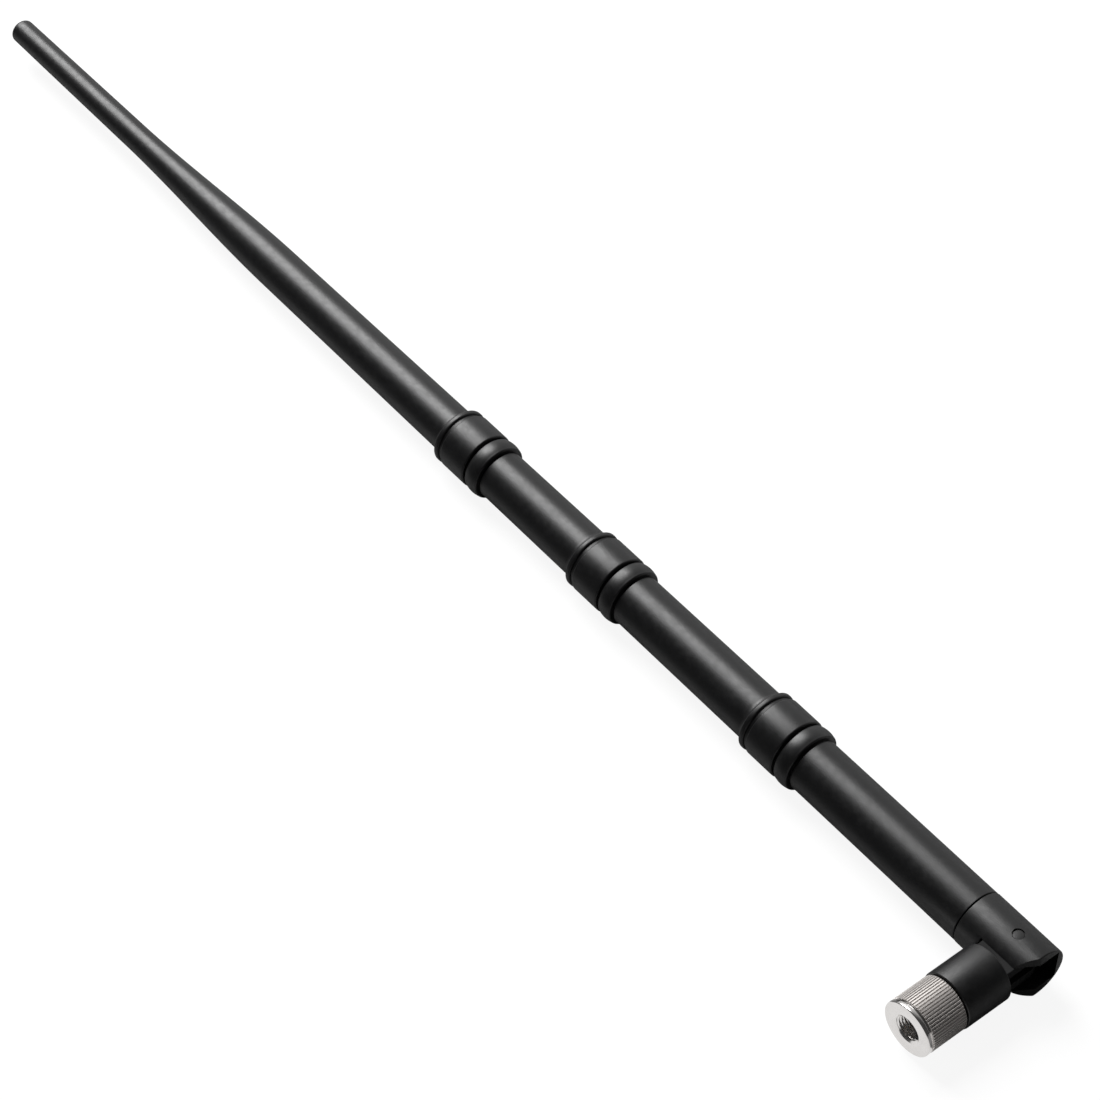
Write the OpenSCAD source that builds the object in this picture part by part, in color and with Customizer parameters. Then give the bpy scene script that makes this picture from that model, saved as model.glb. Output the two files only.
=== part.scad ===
// Folding whip antenna for a wireless network device.
// A screw coupling carries a swivelling elbow stub, and the mast folds on the stub's hinge.
// The mast lies along -X, the coupling opens towards -Y and +Z is up.
// The origin is the middle of the coupling's threaded wall, on its axis.

/* [Mast] */
// Length of the lower tube, from the hinge axis to the lowest collar
lower_l = 61; // [58:0.5:66]
// Length of the middle tube, from collar to collar
middle_l = 57.5; // [52:0.5:64]
// Length of the upper tube, from collar to collar
upper_l = 46.7; // [42:0.1:52]
// Length of the whip from its collar to the taper
whip_l = 80.8; // [72:0.1:90]
// Length of the taper
taper_l = 62; // [55:1:68]
// Length of the slim end beyond the taper
slim_l = 48; // [44:1:54]
// Diameter of the lower tube at the knuckle
lower_d0 = 12.9; // [12.6:0.1:13.2]
// Diameter of the lower tube at its upper end
lower_d1 = 12.7; // [12.4:0.1:12.9]
// Diameter of the middle tube at its lower end
middle_d0 = 12.55; // [12.2:0.05:12.8]
// Diameter of the middle tube at its upper end
middle_d1 = 12.3; // [12.0:0.05:12.5]
// Diameter of the upper tube at its lower end
upper_d0 = 12.15; // [11.9:0.05:12.4]
// Diameter of the upper tube at its upper end
upper_d1 = 11.9; // [11.6:0.05:12.1]
// Diameter of the whip at its lower end
whip_d0 = 11.15; // [10.9:0.05:11.6]
// Diameter of the whip where its taper begins
whip_d1 = 10.45; // [10.2:0.05:10.8]
// Diameter of the slim end where the taper stops
slim_d0 = 6.6; // [6.2:0.1:7.0]
// Diameter of the slim end at the tip
slim_d1 = 6.1; // [5.8:0.1:6.2]
// Wall of the tubes
tube_wall = 1.4; // [1.1:0.1:1.6]
// Radius of the round edge at the tip
tip_round = 1.1; // [0.6:0.1:1.5]

/* [Collars] */
// Width of the ring on the lower tube of each joint
ring_w = 3.8; // [3.2:0.1:4.4]
// Width of the groove between ring and band
groove_w = 0.7; // [0.5:0.1:1.0]
// Width of the band that holds the socket
band_w = 8.2; // [7.0:0.1:9.5]
// Width of the thin line above the band
line_w = 0.5; // [0.4:0.1:0.8]
// Depth of the thin line above the band
line_depth = 0.35; // [0.2:0.05:0.5]
// Width of the shoulder above the line
shoulder_w = 1.7; // [1.3:0.1:2.2]
// Length of the hollow curve from the shoulder down to the tube
flare_w = 1.1; // [0.8:0.1:1.6]
// How far the band stands out from the tube inside it
band_out = 1.06; // [0.95:0.01:1.2]
// How far the ring stands out beyond the band
ring_out = 0.08; // [0.04:0.01:0.15]
// Radius of the round edges on the collars
collar_round = 0.45; // [0.3:0.05:0.6]

/* [Knuckle] */
// Diameter of the knuckle
yoke_d = 13.05; // [12.9:0.05:13.3]
// Distance from the hinge axis to the open end
yoke_end = 7.15; // [7.0:0.05:7.2]
// Distance from the hinge axis to the seam with the lower tube
seam_at = 11; // [10.5:0.1:12]
// Width of the seam groove
seam_w = 0.4; // [0.3:0.05:0.6]
// Length of the spigot inside the lower tube
spigot_l = 8; // [6:0.5:10]
// Half the width of the slot between the ears
slot_half = 4; // [3.9:0.05:4.2]
// Radius of the round hollow at the hinge
slot_r = 4.7; // [4.6:0.05:4.8]
// Distance from the hinge axis to the closed end of the slot
slot_end = 5.1; // [5.0:0.05:5.3]
// Where the ear's slanted corner starts along the mast
ear_cut_x = 4.3; // [4.1:0.05:4.5]
// Where the ear's slanted corner reaches the open end
ear_cut_y = 0.6; // [0.4:0.05:0.8]
// Radius of the cable way through the knuckle
way_r = 2.2; // [1.8:0.1:2.6]
// Radius of the round outer edges
edge_round = 0.3; // [0.2:0.05:0.4]

/* [Hinge] */
// Radius of the hinge pins
pin_r = 1.1; // [1.0:0.05:1.3]
// How far the pins stand back from the knuckle's crown
pin_sink = 0.12; // [0.08:0.02:0.2]
// Width of the ring groove round each pin
pin_ring_w = 0.28; // [0.2:0.02:0.35]
// Depth of the ring groove round each pin
pin_ring_depth = 0.6; // [0.4:0.05:0.8]
// Radial running clearance of the pins in the cheeks
pin_gap = 0.05; // [0.03:0.01:0.08]

/* [Elbow stub] */
// Diameter of the stub's barrel
barrel_d = 13.2; // [13.0:0.05:13.3]
// Distance from the hinge axis to the barrel's shoulder
shoulder_at = 7.35; // [7.35:0.05:7.6]
// Distance from the hinge axis to the barrel's open face
barrel_at = 18.8; // [18.5:0.1:19.6]
// Radius of the tongue's round end
tongue_r = 4.5; // [4.3:0.05:4.5]
// Clearance beside each cheek
cheek_gap = 0.1; // [0.1:0.02:0.2]
// Half the width of the cable slot between the cheeks
fork_half = 1.4; // [1.2:0.05:1.6]
// How far the cable slot runs below the shoulder
fork_depth = 1.5; // [1.0:0.1:2.0]
// Radius of the chamber round the crimp
chamber_r = 2.5; // [2.4:0.1:2.9]

/* [Coupling nut] */
// Diameter of the nut over its knurl
nut_d = 12.8; // [12.6:0.1:13.0]
// Length of the nut
nut_l = 10.5; // [10.0:0.1:11.0]
// Distance from the nut's open face to the hinge axis
face_at = 29.6; // [29.4:0.1:30.4]
// Radius of the threaded wall at the crests
thread_r = 2.85; // [2.8:0.01:2.9]
// Length of the threaded wall
thread_l = 3; // [2.8:0.1:3.4]
// Radius of the mouth's bevel
mouth_r = 3.3; // [3.2:0.02:3.4]
// Length of the mouth's bevel
mouth_l = 0.45; // [0.3:0.05:0.6]
// Radius of the relief behind the thread
relief_r = 3.45; // [3.4:0.05:3.6]
// Width of the plain band at the front
front_band_w = 0.95; // [0.7:0.05:1.2]
// Width of the groove behind the plain band
front_groove_w = 0.6; // [0.4:0.05:0.8]
// Depth of the groove behind the plain band
front_groove_depth = 0.6; // [0.4:0.05:0.8]
// Bevel on the nut's outer edges
nut_bevel = 0.25; // [0.15:0.05:0.35]
// Number of ridges in the knurl
knurl_count = 60; // [48:1:72]
// Depth of the knurl
knurl_depth = 0.28; // [0.2:0.02:0.35]

/* [Plug] */
// Outer radius of the plug's front sleeve
sleeve_r = 2.3; // [2.25:0.01:2.35]
// Radius of the insulating core
core_r = 2.05; // [2.0:0.01:2.08]
// Radius of the journal that the nut and the stub turn on
journal_r = 3.2; // [3.15:0.01:3.25]
// Radial running clearance on the journal
journal_gap = 0.05; // [0.03:0.01:0.08]
// Distance from the nut's face to the front sleeve
sleeve_at = 3.6; // [3.6:0.05:3.8]
// Distance from the nut's face to the journal's shoulder
journal_at = 5.6; // [5.4:0.1:5.9]
// Length of the journal
journal_l = 9.8; // [9.6:0.1:10.1]
// Length of the insulating core
core_l = 5.4; // [5.0:0.1:5.8]
// Outer radius of the centre contact
contact_r = 0.635; // [0.6:0.005:0.68]
// Radius of the centre contact's hole
contact_hole_r = 0.47; // [0.46:0.005:0.48]
// Depth of the centre contact's hole
contact_hole_l = 3; // [2.6:0.1:3.4]
// Outer radius of the crimp stem
stem_r = 1.6; // [1.55:0.05:1.7]
// Length of the crimp stem
stem_l = 3.4; // [3.0:0.1:3.6]
// Wall of the crimp ferrule
ferrule_wall = 0.4; // [0.3:0.05:0.5]
// Thickness of the retaining rings
clip_w = 0.5; // [0.4:0.05:0.6]
// Radial width of the retaining rings
clip_band = 0.85; // [0.8:0.05:0.95]
// Distance from the nut's face to the nut's retaining ring
nut_clip_at = 7.6; // [7.2:0.1:8.6]
// Distance from the nut's face to the stub's retaining ring
stub_clip_at = 13.2; // [12.8:0.1:13.8]

/* [Inner parts] */
// Radius of the feed cable
cable_r = 0.9; // [0.85:0.01:0.95]
// Outer radius of the ground sleeve
ground_r = 3.4; // [3.0:0.1:3.8]
// Wall of the ground sleeve
ground_wall = 0.35; // [0.3:0.05:0.5]
// Distance from the hinge axis to the ground sleeve
ground_at = 27; // [26:0.5:28]
// Length of the ground sleeve
ground_l = 26.5; // [26:0.1:27]
// Radius of the radiator wire
wire_r = 0.55; // [0.45:0.05:0.65]
// How far the radiator's upper end reaches into the taper
wire_reach = 22; // [16:1:30]
// Mean radius of the phasing coils
coil_r = 2.4; // [2.2:0.1:2.6]
// Rise of the phasing coils in each turn
coil_pitch = 2.4; // [2.0:0.1:2.8]
// Number of turns in each phasing coil
coil_turns = 4; // [3:1:5]
// Thickness of the wire spacers
spacer_w = 5; // [4:0.5:6]
// Radial clearance of fixed pieces in each other
seat_gap = 0.05; // [0.03:0.01:0.08]

/* [Hidden] */
$fn = 96;

// Small overshoot of every cut
over = 0.5;
// Points in a quarter round and in the taper
arc_steps = 5;
taper_steps = 16;
// Play at each end of a spigot, and along the retaining rings
end_gap = 0.3;
clip_gap = 0.1;
// Opening of a retaining ring
clip_mouth = 2.4;

face_y = -(mouth_l + thread_l / 2);
pivot_y = face_y + face_at;

collar_1_at = lower_l;
collar_2_at = collar_1_at + middle_l;
collar_3_at = collar_2_at + upper_l;
taper_at = collar_3_at + whip_l;
mast_l = taper_at + taper_l + slim_l;

yoke_r = yoke_d / 2;
barrel_r = barrel_d / 2;
nut_r = nut_d / 2;
bore_lower = lower_d1 / 2 - tube_wall;
bore_middle = middle_d1 / 2 - tube_wall;
bore_upper = upper_d1 / 2 - tube_wall;
bore_whip = whip_d1 / 2 - tube_wall;
bore_slim = slim_d0 / 2 - tube_wall;
tube_start = seam_at + seam_w;
cheek_half = slot_half - cheek_gap;
hinge_hole_r = pin_r + pin_gap;
journal_end = journal_at + journal_l;
journal_bore_r = journal_r + journal_gap;
clip_r = journal_r + clip_band / 2;
cable_hole_r = cable_r + 2 * seat_gap;
cable_start = face_at - sleeve_at - core_l - end_gap;
stem_bore_end = journal_end + stem_l;

// Route of the feed cable from the plug, round the hinge and up the mast
cable_bend = [
  [0, -16, 0], [0, -12, 0], [0, -8, 0], [0, -5, 0], [-0.4, -3, 0], [-1.5, -1.5, 0],
  [-3, -0.4, 0], [-5, 0, 0], [-9, 0, 0], [-14, 0, 0], [-19, 0, 0], [-24, 0, 0],
  [-29, 0, 0], [-34, 0, 0], [-39, 0, 0], [-44, 0, 0], [-48, 0, 0]
];
cable_sides = 8;

// Centres of the phasing coils, one in each tube beyond the lowest collar, at a share of its length
coil_share = [0.54, 0.61, 0.46];
coil_at = [
  collar_1_at + coil_share[0] * middle_l, collar_2_at + coil_share[1] * upper_l,
  collar_3_at + coil_share[2] * whip_l
];
coil_half = (coil_turns + 1) * coil_pitch / 2;
wire_end = taper_at + wire_reach;
coil_steps = 12;
wire_sides = 6;

function arc(cx, cy, r, a0, a1) =
  [for (i = [0 : arc_steps])
    let (a = a0 + (a1 - a0) * i / arc_steps) [cx + r * cos(a), cy + r * sin(a)]];
function unit(v) = v / norm(v);
function smooth(t) = t * t * (3 - 2 * t);

module along_mast() {
  translate([0, pivot_y, 0]) rotate([0, -90, 0]) children();
}

module along_stub() {
  translate([0, pivot_y, 0]) rotate([90, 0, 0]) children();
}

module along_coupling() {
  translate([0, face_y, 0]) rotate([-90, 0, 0]) children();
}

module tube(r_out, r_in, z0, z1) {
  rotate_extrude() polygon([[r_in, z0], [r_out, z0], [r_out, z1], [r_in, z1]]);
}

// Outline of a joint's ring and spigot on the lower tube, from its undercut upwards
function ring_outline(at, r) =
  let (top = at + ring_w, out = r + band_out + ring_out, c = collar_round)
  concat(
    [[r, at]],
    arc(out - 2 * c, at + 2 * c, 2 * c, -90, 0),
    arc(out - c, top - c, c, 0, 90),
    [[r, top], [r, top + groove_w + band_w - end_gap]]
  );

// Outline of a joint's band, line, shoulder and hollow curve on the upper tube
function band_outline(at, r, r_above) =
  let (
    z0 = at + ring_w + groove_w, out = r + band_out, c = collar_round,
    z1 = z0 + band_w, z2 = z1 + line_w, z3 = z2 + shoulder_w
  )
  concat(
    arc(out - c, z0 + c, c, -90, 0),
    arc(out - c, z1 - c, c, 0, 60),
    [[out - line_depth, z1], [out - line_depth, z2]],
    arc(out - line_depth, z2 + line_depth, line_depth, -90, 0),
    arc(out - c, z3 - c, c, 0, 90),
    [for (i = [1 : arc_steps])
      let (t = i / arc_steps, start = out - c)
      [start + (r_above - start) * sin(90 * t), z3 + flare_w * (1 - cos(90 * t))]]
  );

// Socket bore of the upper tube, from its step down to its mouth
function socket_inner(at, r, r_bore) =
  let (z0 = at + ring_w + groove_w, z1 = z0 + band_w)
  [[r_bore, z1], [r + seat_gap, z1], [r + seat_gap, z0]];

module joint_tube(at0, socket_r, r0, r_bore, at1, r1) {
  along_mast() rotate_extrude() polygon(concat(
    band_outline(at0, socket_r, r0),
    ring_outline(at1, r1),
    [[r_bore, at1 + ring_w + groove_w + band_w - end_gap]],
    socket_inner(at0, socket_r, r_bore)
  ));
}

module radome_lower() {
  color("#1d1d1f") along_mast() rotate_extrude() polygon(concat(
    [[bore_lower, tube_start], [lower_d0 / 2 - edge_round, tube_start]],
    [[lower_d0 / 2, tube_start + edge_round]],
    ring_outline(collar_1_at, lower_d1 / 2),
    [[bore_lower, collar_1_at + ring_w + groove_w + band_w - end_gap]]
  ));
}

module radome_middle() {
  color("#1d1d1f")
  joint_tube(collar_1_at, lower_d1 / 2, middle_d0 / 2, bore_middle, collar_2_at, middle_d1 / 2);
}

module radome_upper() {
  color("#1d1d1f")
  joint_tube(collar_2_at, middle_d1 / 2, upper_d0 / 2, bore_upper, collar_3_at, upper_d1 / 2);
}

// The whip narrows on an S curve and ends in a closed round tip
module radome_whip() {
  taper_end = taper_at + taper_l;
  slim_r = slim_d1 / 2;
  color("#1d1d1f") along_mast() rotate_extrude() polygon(concat(
    band_outline(collar_3_at, upper_d1 / 2, whip_d0 / 2),
    [for (i = [0 : taper_steps])
      let (t = i / taper_steps)
      [whip_d1 / 2 + (slim_d0 - whip_d1) / 2 * smooth(t), taper_at + taper_l * t]],
    arc(slim_r - tip_round, mast_l - tip_round, tip_round, 0, 90),
    [[0, mast_l], [0, mast_l - 2 * tube_wall], [bore_slim, mast_l - 2 * tube_wall]],
    [[bore_slim, taper_end], [bore_whip, taper_at]],
    socket_inner(collar_3_at, upper_d1 / 2, bore_whip)
  ));
}

// Outline of the space between the ears, seen along the hinge axis with the mast along -X
module slot_plan() {
  circle(r = slot_r);
  translate([-slot_end, -yoke_r - over]) square([slot_end + yoke_end + over, yoke_r + over]);
  translate([0, -over]) square([yoke_end + over, slot_r + over]);
}

module ear_corner_plan() {
  polygon([
    [ear_cut_x, -yoke_r * sin(acos(slot_half / yoke_r))],
    [yoke_end, -ear_cut_y],
    [yoke_end + over, -ear_cut_y],
    [yoke_end + over, -yoke_r - over],
    [ear_cut_x - over, -yoke_r - over]
  ]);
}

module knuckle_yoke() {
  spigot_r = bore_lower - seat_gap;
  color("#1b1b1d") difference() {
    along_mast() rotate_extrude() polygon(concat(
      [[0, -yoke_end]],
      arc(yoke_r - edge_round, -yoke_end + edge_round, edge_round, -90, 0),
      arc(yoke_r - edge_round, seam_at - edge_round, edge_round, 0, 90),
      [[spigot_r, seam_at], [spigot_r, seam_at + spigot_l], [0, seam_at + spigot_l]]
    ));
    translate([0, pivot_y, -slot_half]) linear_extrude(2 * slot_half) slot_plan();
    translate([0, pivot_y, -yoke_r - over]) linear_extrude(2 * yoke_r + 2 * over)
      ear_corner_plan();
    along_mast() cylinder(r = way_r, h = seam_at + spigot_l + over);
    translate([0, pivot_y, -yoke_r - over]) cylinder(r = pin_r, h = 2 * yoke_r + 2 * over);
    for (side = [0, 1]) mirror([0, 0, side])
      translate([0, pivot_y, yoke_r - pin_ring_depth])
        cylinder(r = pin_r + pin_ring_w, h = pin_ring_depth + over);
  }
}

module hinge_pin() {
  foot = fork_half + 2 * cheek_gap;
  top = yoke_r - pin_sink;
  color("#232325") translate([0, pivot_y, 0]) rotate_extrude() polygon(concat(
    [[0, foot], [pin_r - edge_round, foot], [pin_r, foot + edge_round]],
    arc(pin_r - edge_round, top - edge_round, edge_round, 0, 90),
    [[0, top]]
  ));
}

module hinge_pin_top() { hinge_pin(); }
module hinge_pin_bottom() { mirror([0, 0, 1]) hinge_pin(); }

// Barrel with two round-ended cheeks, and a cable slot between them
module elbow_stub() {
  barrel_l = barrel_at - shoulder_at;
  clip_z = face_at - stub_clip_at;
  color("#1b1b1d") difference() {
    union() {
      along_stub() rotate_extrude() polygon(concat(
        [[0, shoulder_at]],
        arc(barrel_r - edge_round, shoulder_at + edge_round, edge_round, -90, 0),
        arc(barrel_r - edge_round, barrel_at - edge_round, edge_round, 0, 90),
        [[0, barrel_at]]
      ));
      translate([0, pivot_y, -cheek_half]) linear_extrude(2 * cheek_half) {
        circle(r = tongue_r);
        translate([-tongue_r, -shoulder_at - over]) square([2 * tongue_r, shoulder_at + over]);
      }
    }
    translate([-tongue_r - over, pivot_y - shoulder_at - fork_depth, -fork_half])
      cube([2 * tongue_r + 2 * over, shoulder_at + fork_depth + tongue_r + over, 2 * fork_half]);
    translate([0, pivot_y, -yoke_r]) cylinder(r = hinge_hole_r, h = 2 * yoke_r);
    along_stub() translate([0, 0, shoulder_at]) cylinder(r = chamber_r, h = barrel_l + over);
    along_stub() translate([0, 0, face_at - journal_end - end_gap])
      cylinder(r = journal_bore_r, h = barrel_at + over);
    along_stub() translate([0, 0, clip_z - clip_w / 2 - clip_gap])
      cylinder(r = clip_r + clip_gap, h = clip_w + 2 * clip_gap);
  }
}

// Split retaining ring that sits half in the journal and half in the bore round it
module retaining_ring(at) {
  along_coupling() translate([0, 0, at - clip_w / 2]) difference() {
    cylinder(r = clip_r, h = clip_w);
    translate([0, 0, -over]) cylinder(r = clip_r - clip_band, h = clip_w + 2 * over);
    translate([0, -clip_mouth / 2, -over])
      cube([clip_r + over, clip_mouth, clip_w + 2 * over]);
  }
}

module nut_clip() { color("#b58b4a") retaining_ring(nut_clip_at); }
module stub_clip() { color("#b58b4a") retaining_ring(stub_clip_at); }

// Cross-section of the knurl: flat crests with narrow flat roots
module knurl_plan() {
  pitch = 360 / knurl_count;
  polygon([for (i = [0 : knurl_count - 1], k = [0 : 3])
    let (a = (i + [0, 0.45, 0.68, 0.8][k]) * pitch, r = k < 2 ? nut_r : nut_r - knurl_depth)
    [r * cos(a), r * sin(a)]]);
}

module coupling_nut() {
  knurl_at = front_band_w + front_groove_w;
  color("#cfccc8") along_coupling() difference() {
    union() {
      rotate_extrude() polygon([
        [0, 0], [nut_r - nut_bevel, 0], [nut_r, nut_bevel], [nut_r, front_band_w],
        [nut_r - front_groove_depth, front_band_w], [nut_r - front_groove_depth, knurl_at + over],
        [0, knurl_at + over]
      ]);
      intersection() {
        translate([0, 0, knurl_at]) linear_extrude(nut_l - knurl_at) knurl_plan();
        rotate_extrude() polygon([
          [0, knurl_at], [nut_r - nut_bevel, knurl_at], [nut_r, knurl_at + nut_bevel],
          [nut_r, nut_l - nut_bevel], [nut_r - nut_bevel, nut_l], [0, nut_l]
        ]);
      }
    }
    translate([0, 0, -over]) cylinder(r = thread_r, h = mouth_l + thread_l + 2 * over);
    rotate_extrude() polygon([
      [0, -over], [mouth_r, -over], [mouth_r, 0], [thread_r, mouth_l], [0, mouth_l]
    ]);
    translate([0, 0, mouth_l + thread_l])
      cylinder(r = relief_r, h = journal_at + end_gap - mouth_l - thread_l);
    translate([0, 0, journal_at]) cylinder(r = journal_bore_r, h = nut_l);
    translate([0, 0, nut_clip_at - clip_w / 2 - clip_gap])
      cylinder(r = clip_r + clip_gap, h = clip_w + 2 * clip_gap);
  }
}

module plug_body() {
  groove_r = clip_r - clip_band - clip_gap;
  core_end = sleeve_at + core_l;
  color("#d6b56a") along_coupling() difference() {
    rotate_extrude() polygon([
      [core_r + seat_gap, sleeve_at], [sleeve_r, sleeve_at], [sleeve_r, journal_at],
      [journal_r - nut_bevel, journal_at], [journal_r, journal_at + nut_bevel],
      [journal_r, journal_end], [stem_r, journal_end], [stem_r, stem_bore_end],
      [cable_hole_r, stem_bore_end], [cable_hole_r, core_end], [core_r + seat_gap, core_end]
    ]);
    for (at = [nut_clip_at, stub_clip_at])
      tube(journal_r + over, groove_r, at - clip_w / 2 - clip_gap, at + clip_w / 2 + clip_gap);
  }
}

module insulating_core() {
  color("#f1efea") along_coupling()
    tube(core_r, contact_r + seat_gap / 2, sleeve_at, sleeve_at + core_l);
}

module centre_contact() {
  color("#d9a441") along_coupling() translate([0, 0, sleeve_at]) difference() {
    cylinder(r = contact_r, h = core_l);
    translate([0, 0, -over]) cylinder(r = contact_hole_r, h = contact_hole_l + over);
  }
}

module crimp_ferrule() {
  inner = stem_r + seat_gap;
  start = journal_end + seat_gap;
  stop = stem_bore_end + clip_w;
  color("#cfa75a") along_coupling() rotate_extrude() polygon([
    [inner, start], [inner + ferrule_wall, start], [inner + ferrule_wall, stop],
    [cable_hole_r, stop], [cable_hole_r, stem_bore_end + seat_gap],
    [inner, stem_bore_end + seat_gap]
  ]);
}

// One closed skin swept along points, with a ring of corners square to each point's heading
module swept_skin(rings) {
  sides = len(rings[0]);
  last = len(rings) - 1;
  polyhedron(
    points = [for (ring = rings) for (p = ring) p],
    faces = concat(
      [[for (k = [0 : sides - 1]) k]],
      [for (i = [0 : last - 1], k = [0 : sides - 1])
        let (n = (k + 1) % sides)
        [i * sides + k, (i + 1) * sides + k, (i + 1) * sides + n, i * sides + n]],
      [[for (k = [sides - 1 : -1 : 0]) last * sides + k]]
    )
  );
}

function heading(pts, i) =
  unit(pts[min(i + 1, len(pts) - 1)] - pts[max(i - 1, 0)]);

module feed_cable() {
  cable_end = ground_at + ground_l - ground_wall - seat_gap;
  pts = concat([[0, -cable_start, 0]], cable_bend, [[-cable_end, 0, 0]]);
  color("#8c6a4a") translate([0, pivot_y, 0]) swept_skin([for (i = [0 : len(pts) - 1])
    let (h = heading(pts, i), side = [h[1], -h[0], 0])
    [for (k = [0 : cable_sides - 1])
      let (a = 360 * k / cable_sides)
      pts[i] + cable_r * (cos(a) * side + sin(a) * [0, 0, 1])]]);
}

// Cup of brass tube round the feed cable, closed at the feed point
module ground_sleeve() {
  color("#c79a4b") along_mast() translate([0, 0, ground_at]) rotate_extrude() polygon([
    [ground_r - ground_wall, 0], [ground_r, 0], [ground_r, ground_l],
    [wire_r + 2 * seat_gap, ground_l], [wire_r + 2 * seat_gap, ground_l - ground_wall],
    [ground_r - ground_wall, ground_l - ground_wall]
  ]);
}

// Bead that centres the cable in the sleeve and rests on the tube's wall
module ground_bead() {
  color("#e6e2d8") along_mast() difference() {
    union() {
      translate([0, 0, ground_at - spacer_w / 2])
        cylinder(r = bore_lower - seat_gap, h = spacer_w / 2 - seat_gap);
      translate([0, 0, ground_at - spacer_w / 2])
        cylinder(r = ground_r - ground_wall - seat_gap, h = spacer_w);
    }
    translate([0, 0, ground_at - spacer_w]) cylinder(r = cable_hole_r, h = 3 * spacer_w);
  }
}

// Point of the radiator at a coil's angle: the turns open from the axis and close on it
function coil_point(at, a, total) =
  let (lead = 180, open = smooth(min(1, min(a, total - a) / lead)))
  [coil_r * open * cos(a), coil_r * open * sin(a), at + (a - total / 2) / 360 * coil_pitch];

module radiator_wire() {
  total = (coil_turns + 1) * 360;
  steps = (coil_turns + 1) * coil_steps;
  start = ground_at + ground_l - ground_wall - seat_gap + end_gap;
  coils = [for (at = coil_at, i = [0 : steps])
    let (a = total * i / steps) [coil_point(at, a, total), a]];
  route = concat([[[0, 0, start], 0]], coils, [[[0, 0, wire_end], 0]]);
  pts = [for (r = route) r[0]];
  color("#c8814c") along_mast() swept_skin([for (i = [0 : len(pts) - 1])
    let (
      h = heading(pts, i), out = [cos(route[i][1]), sin(route[i][1]), 0],
      n = unit(out - (out * h) * h), b = cross(h, n)
    )
    [for (k = [0 : wire_sides - 1])
      let (a = -360 * k / wire_sides) pts[i] + wire_r * (cos(a) * n + sin(a) * b)]]);
}

module wire_spacer(at, bore) {
  color("#dcd9cf") along_mast()
    tube(bore - seat_gap, wire_r + seat_gap, at - spacer_w / 2, at + spacer_w / 2);
}

// Place of a spacer that stands next to a coil
function beyond_coil(at) = at + coil_half + end_gap + spacer_w / 2;

module spacer_lower() { wire_spacer(collar_1_at + ring_w + groove_w + spacer_w / 2, bore_lower); }
module spacer_middle() { wire_spacer(beyond_coil(coil_at[0]), bore_middle); }
module spacer_upper() { wire_spacer(beyond_coil(coil_at[1]), bore_upper); }
module spacer_whip() { wire_spacer(taper_at - spacer_w, bore_whip); }

radome_lower();
radome_middle();
radome_upper();
radome_whip();
knuckle_yoke();
hinge_pin_top();
hinge_pin_bottom();
elbow_stub();
stub_clip();
coupling_nut();
nut_clip();
plug_body();
insulating_core();
centre_contact();
crimp_ferrule();
feed_cable();
ground_sleeve();
ground_bead();
radiator_wire();
spacer_lower();
spacer_middle();
spacer_upper();
spacer_whip();
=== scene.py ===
"""Looks of a folding whip antenna for a wireless network device.

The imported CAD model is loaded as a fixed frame. Turned parts that the eye rests on are made again here
as finer surfaces in the same place, and every other CAD node keeps its mesh and gets its finish.
Sizes in the classes are in millimetres, and a mesh is written in metres, in the frame of the CAD model.
"""
import logging
import math
from dataclasses import dataclass, field
from enum import Enum

import bmesh
import bpy
import numpy as np
from mathutils import Matrix, Vector


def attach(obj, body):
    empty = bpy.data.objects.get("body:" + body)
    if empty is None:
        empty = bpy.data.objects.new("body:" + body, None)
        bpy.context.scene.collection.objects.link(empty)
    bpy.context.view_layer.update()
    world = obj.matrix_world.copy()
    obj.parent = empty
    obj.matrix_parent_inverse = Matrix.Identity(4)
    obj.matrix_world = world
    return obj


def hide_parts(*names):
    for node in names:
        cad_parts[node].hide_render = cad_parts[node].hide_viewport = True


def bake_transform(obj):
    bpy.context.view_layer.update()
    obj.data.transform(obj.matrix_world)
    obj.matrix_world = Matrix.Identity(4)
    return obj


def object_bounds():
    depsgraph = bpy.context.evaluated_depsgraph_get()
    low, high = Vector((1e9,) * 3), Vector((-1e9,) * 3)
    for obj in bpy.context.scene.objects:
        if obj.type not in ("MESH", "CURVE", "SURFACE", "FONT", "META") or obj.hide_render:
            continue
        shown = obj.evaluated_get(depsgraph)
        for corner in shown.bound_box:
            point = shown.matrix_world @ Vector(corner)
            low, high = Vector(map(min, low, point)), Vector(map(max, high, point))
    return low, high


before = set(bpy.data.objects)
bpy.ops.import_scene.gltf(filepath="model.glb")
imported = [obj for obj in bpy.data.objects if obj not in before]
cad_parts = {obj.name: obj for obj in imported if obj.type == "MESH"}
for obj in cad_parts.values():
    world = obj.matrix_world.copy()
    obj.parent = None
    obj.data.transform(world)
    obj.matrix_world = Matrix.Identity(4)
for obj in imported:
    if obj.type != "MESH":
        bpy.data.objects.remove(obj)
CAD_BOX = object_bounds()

LOG = logging.getLogger("antenna")

MM = 0.001
FACE_Y = -1.95
PIVOT_Y = 27.65
IMAGE_PX = 1100
NOISE_LOW, NOISE_HIGH = 0.3, 0.7
FAR_Y = 1000.0


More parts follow.
